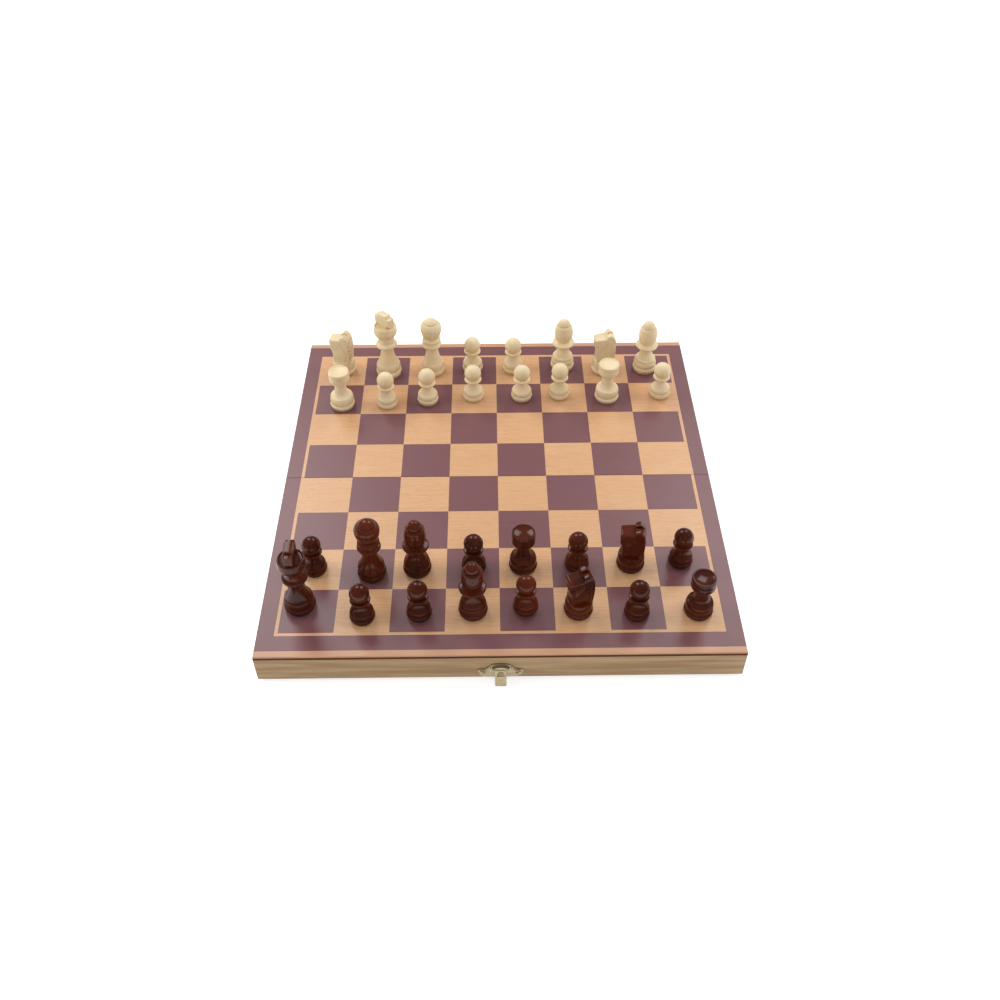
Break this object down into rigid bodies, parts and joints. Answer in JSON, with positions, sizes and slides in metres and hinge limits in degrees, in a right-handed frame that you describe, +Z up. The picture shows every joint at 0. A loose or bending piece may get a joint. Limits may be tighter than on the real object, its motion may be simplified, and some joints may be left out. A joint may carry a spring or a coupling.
{
  "type": "magnetic folding chess set",
  "caption": "Folding wooden chess board box with a brass clasp and hinges, a checked top, tray compartments underneath and turned magnetic chessmen standing on it.",
  "frame": {"origin": "on the table under the middle of the fold line, with the board opened flat", "axes": "+X to the right seen from the clasp, +Y from the clasp edge towards the catch edge, +Z up"},
  "size_m": [0.28, 0.2975, 0.0741],
  "materials": {
    "printed_panel": "satin lacquer",
    "pine_rail": "satin lacquer",
    "divider_wood": "bare",
    "steel_sheet": "cold rolled",
    "felt_lining": "felt",
    "brass": "bright plated",
    "dark_wood": "gloss lacquer",
    "light_wood": "satin lacquer"
  },
  "bodies": {
    "front_half": {"clasp_nails": "brass", "clasp_pin": "brass", "clasp_plate": "brass", "front_clasp_rail": "pine_rail", "front_felt_lining": "felt_lining", "front_hinge_rail": "pine_rail", "front_left_rail": "pine_rail", "front_playing_panel": "printed_panel", "front_right_rail": "pine_rail", "front_steel_sheet": "steel_sheet", "front_tray_dividers": "divider_wood", "hinge_front_leaves": "brass", "hinge_front_screws": "brass", "hinge_pins": "brass"},
    "rear_half": {"catch_nails": "brass", "catch_plate": "brass", "hinge_rear_leaves": "brass", "hinge_rear_screws": "brass", "rear_catch_rail": "pine_rail", "rear_felt_lining": "felt_lining", "rear_hinge_rail": "pine_rail", "rear_left_rail": "pine_rail", "rear_playing_panel": "printed_panel", "rear_right_rail": "pine_rail", "rear_steel_sheet": "steel_sheet", "rear_tray_dividers": "divider_wood"},
    "clasp_tongue": {"clasp_tongue": "brass"},
    "dark_bishop_1": {"dark_bishop_1": "dark_wood"},
    "dark_bishop_2": {"dark_bishop_2": "dark_wood"},
    "dark_king": {"dark_king": "dark_wood"},
    "dark_knight_1": {"dark_knight_1": "dark_wood"},
    "dark_knight_2": {"dark_knight_2": "dark_wood"},
    "dark_pawn_1": {"dark_pawn_1": "dark_wood"},
    "dark_pawn_2": {"dark_pawn_2": "dark_wood"},
    "dark_pawn_3": {"dark_pawn_3": "dark_wood"},
    "dark_pawn_4": {"dark_pawn_4": "dark_wood"},
    "dark_pawn_5": {"dark_pawn_5": "dark_wood"},
    "dark_pawn_6": {"dark_pawn_6": "dark_wood"},
    "dark_pawn_7": {"dark_pawn_7": "dark_wood"},
    "dark_pawn_8": {"dark_pawn_8": "dark_wood"},
    "dark_queen": {"dark_queen": "dark_wood"},
    "dark_rook_1": {"dark_rook_1": "dark_wood"},
    "dark_rook_2": {"dark_rook_2": "dark_wood"},
    "light_bishop_1": {"light_bishop_1": "light_wood"},
    "light_bishop_2": {"light_bishop_2": "light_wood"},
    "light_king": {"light_king": "light_wood"},
    "light_knight_1": {"light_knight_1": "light_wood"},
    "light_knight_2": {"light_knight_2": "light_wood"},
    "light_pawn_1": {"light_pawn_1": "light_wood"},
    "light_pawn_2": {"light_pawn_2": "light_wood"},
    "light_pawn_3": {"light_pawn_3": "light_wood"},
    "light_pawn_4": {"light_pawn_4": "light_wood"},
    "light_pawn_5": {"light_pawn_5": "light_wood"},
    "light_pawn_6": {"light_pawn_6": "light_wood"},
    "light_pawn_7": {"light_pawn_7": "light_wood"},
    "light_pawn_8": {"light_pawn_8": "light_wood"},
    "light_queen": {"light_queen": "light_wood"},
    "light_rook_1": {"light_rook_1": "light_wood"},
    "light_rook_2": {"light_rook_2": "light_wood"}
  },
  "joints": [
    {"name": "fold", "type": "hinge", "parent": "front_half", "child": "rear_half", "pos_m": [0, 0, 0.0013], "axis": [-1, 0, 0], "range_deg": [0, 180]},
    {"name": "clasp_swing", "type": "hinge", "parent": "front_half", "child": "clasp_tongue", "pos_m": [0, -0.1468, 0.0104], "axis": [1, 0, 0], "range_deg": [-90, 22.3]},
    {"name": "dark_bishop_1_lift", "type": "slide", "parent": "front_half", "child": "dark_bishop_1", "axis": [0, 0, 1], "range_m": [0, 0.06]},
    {"name": "dark_bishop_2_lift", "type": "slide", "parent": "front_half", "child": "dark_bishop_2", "axis": [0, 0, 1], "range_m": [0, 0.06]},
    {"name": "dark_king_lift", "type": "slide", "parent": "front_half", "child": "dark_king", "axis": [0, 0, 1], "range_m": [0, 0.06]},
    {"name": "dark_knight_1_lift", "type": "slide", "parent": "front_half", "child": "dark_knight_1", "axis": [0, 0, 1], "range_m": [0, 0.06]},
    {"name": "dark_knight_2_lift", "type": "slide", "parent": "front_half", "child": "dark_knight_2", "axis": [0, 0, 1], "range_m": [0, 0.06]},
    {"name": "dark_pawn_1_lift", "type": "slide", "parent": "front_half", "child": "dark_pawn_1", "axis": [0, 0, 1], "range_m": [0, 0.06]},
    {"name": "dark_pawn_2_lift", "type": "slide", "parent": "front_half", "child": "dark_pawn_2", "axis": [0, 0, 1], "range_m": [0, 0.06]},
    {"name": "dark_pawn_3_lift", "type": "slide", "parent": "front_half", "child": "dark_pawn_3", "axis": [0, 0, 1], "range_m": [0, 0.06]},
    {"name": "dark_pawn_4_lift", "type": "slide", "parent": "front_half", "child": "dark_pawn_4", "axis": [0, 0, 1], "range_m": [0, 0.06]},
    {"name": "dark_pawn_5_lift", "type": "slide", "parent": "front_half", "child": "dark_pawn_5", "axis": [0, 0, 1], "range_m": [0, 0.06]},
    {"name": "dark_pawn_6_lift", "type": "slide", "parent": "front_half", "child": "dark_pawn_6", "axis": [0, 0, 1], "range_m": [0, 0.06]},
    {"name": "dark_pawn_7_lift", "type": "slide", "parent": "front_half", "child": "dark_pawn_7", "axis": [0, 0, 1], "range_m": [0, 0.06]},
    {"name": "dark_pawn_8_lift", "type": "slide", "parent": "front_half", "child": "dark_pawn_8", "axis": [0, 0, 1], "range_m": [0, 0.06]},
    {"name": "dark_queen_lift", "type": "slide", "parent": "front_half", "child": "dark_queen", "axis": [0, 0, 1], "range_m": [0, 0.06]},
    {"name": "dark_rook_1_lift", "type": "slide", "parent": "front_half", "child": "dark_rook_1", "axis": [0, 0, 1], "range_m": [0, 0.06]},
    {"name": "dark_rook_2_lift", "type": "slide", "parent": "front_half", "child": "dark_rook_2", "axis": [0, 0, 1], "range_m": [0, 0.06]},
    {"name": "light_bishop_1_lift", "type": "slide", "parent": "rear_half", "child": "light_bishop_1", "axis": [0, 0, 1], "range_m": [0, 0.06]},
    {"name": "light_bishop_2_lift", "type": "slide", "parent": "rear_half", "child": "light_bishop_2", "axis": [0, 0, 1], "range_m": [0, 0.06]},
    {"name": "light_king_lift", "type": "slide", "parent": "rear_half", "child": "light_king", "axis": [0, 0, 1], "range_m": [0, 0.06]},
    {"name": "light_knight_1_lift", "type": "slide", "parent": "rear_half", "child": "light_knight_1", "axis": [0, 0, 1], "range_m": [0, 0.06]},
    {"name": "light_knight_2_lift", "type": "slide", "parent": "rear_half", "child": "light_knight_2", "axis": [0, 0, 1], "range_m": [0, 0.06]},
    {"name": "light_pawn_1_lift", "type": "slide", "parent": "rear_half", "child": "light_pawn_1", "axis": [0, 0, 1], "range_m": [0, 0.06]},
    {"name": "light_pawn_2_lift", "type": "slide", "parent": "rear_half", "child": "light_pawn_2", "axis": [0, 0, 1], "range_m": [0, 0.06]},
    {"name": "light_pawn_3_lift", "type": "slide", "parent": "rear_half", "child": "light_pawn_3", "axis": [0, 0, 1], "range_m": [0, 0.06]},
    {"name": "light_pawn_4_lift", "type": "slide", "parent": "rear_half", "child": "light_pawn_4", "axis": [0, 0, 1], "range_m": [0, 0.06]},
    {"name": "light_pawn_5_lift", "type": "slide", "parent": "rear_half", "child": "light_pawn_5", "axis": [0, 0, 1], "range_m": [0, 0.06]},
    {"name": "light_pawn_6_lift", "type": "slide", "parent": "rear_half", "child": "light_pawn_6", "axis": [0, 0, 1], "range_m": [0, 0.06]},
    {"name": "light_pawn_7_lift", "type": "slide", "parent": "rear_half", "child": "light_pawn_7", "axis": [0, 0, 1], "range_m": [0, 0.06]},
    {"name": "light_pawn_8_lift", "type": "slide", "parent": "rear_half", "child": "light_pawn_8", "axis": [0, 0, 1], "range_m": [0, 0.06]},
    {"name": "light_queen_lift", "type": "slide", "parent": "rear_half", "child": "light_queen", "axis": [0, 0, 1], "range_m": [0, 0.06]},
    {"name": "light_rook_1_lift", "type": "slide", "parent": "rear_half", "child": "light_rook_1", "axis": [0, 0, 1], "range_m": [0, 0.06]},
    {"name": "light_rook_2_lift", "type": "slide", "parent": "rear_half", "child": "light_rook_2", "axis": [0, 0, 1], "range_m": [0, 0.06]}
  ]
}
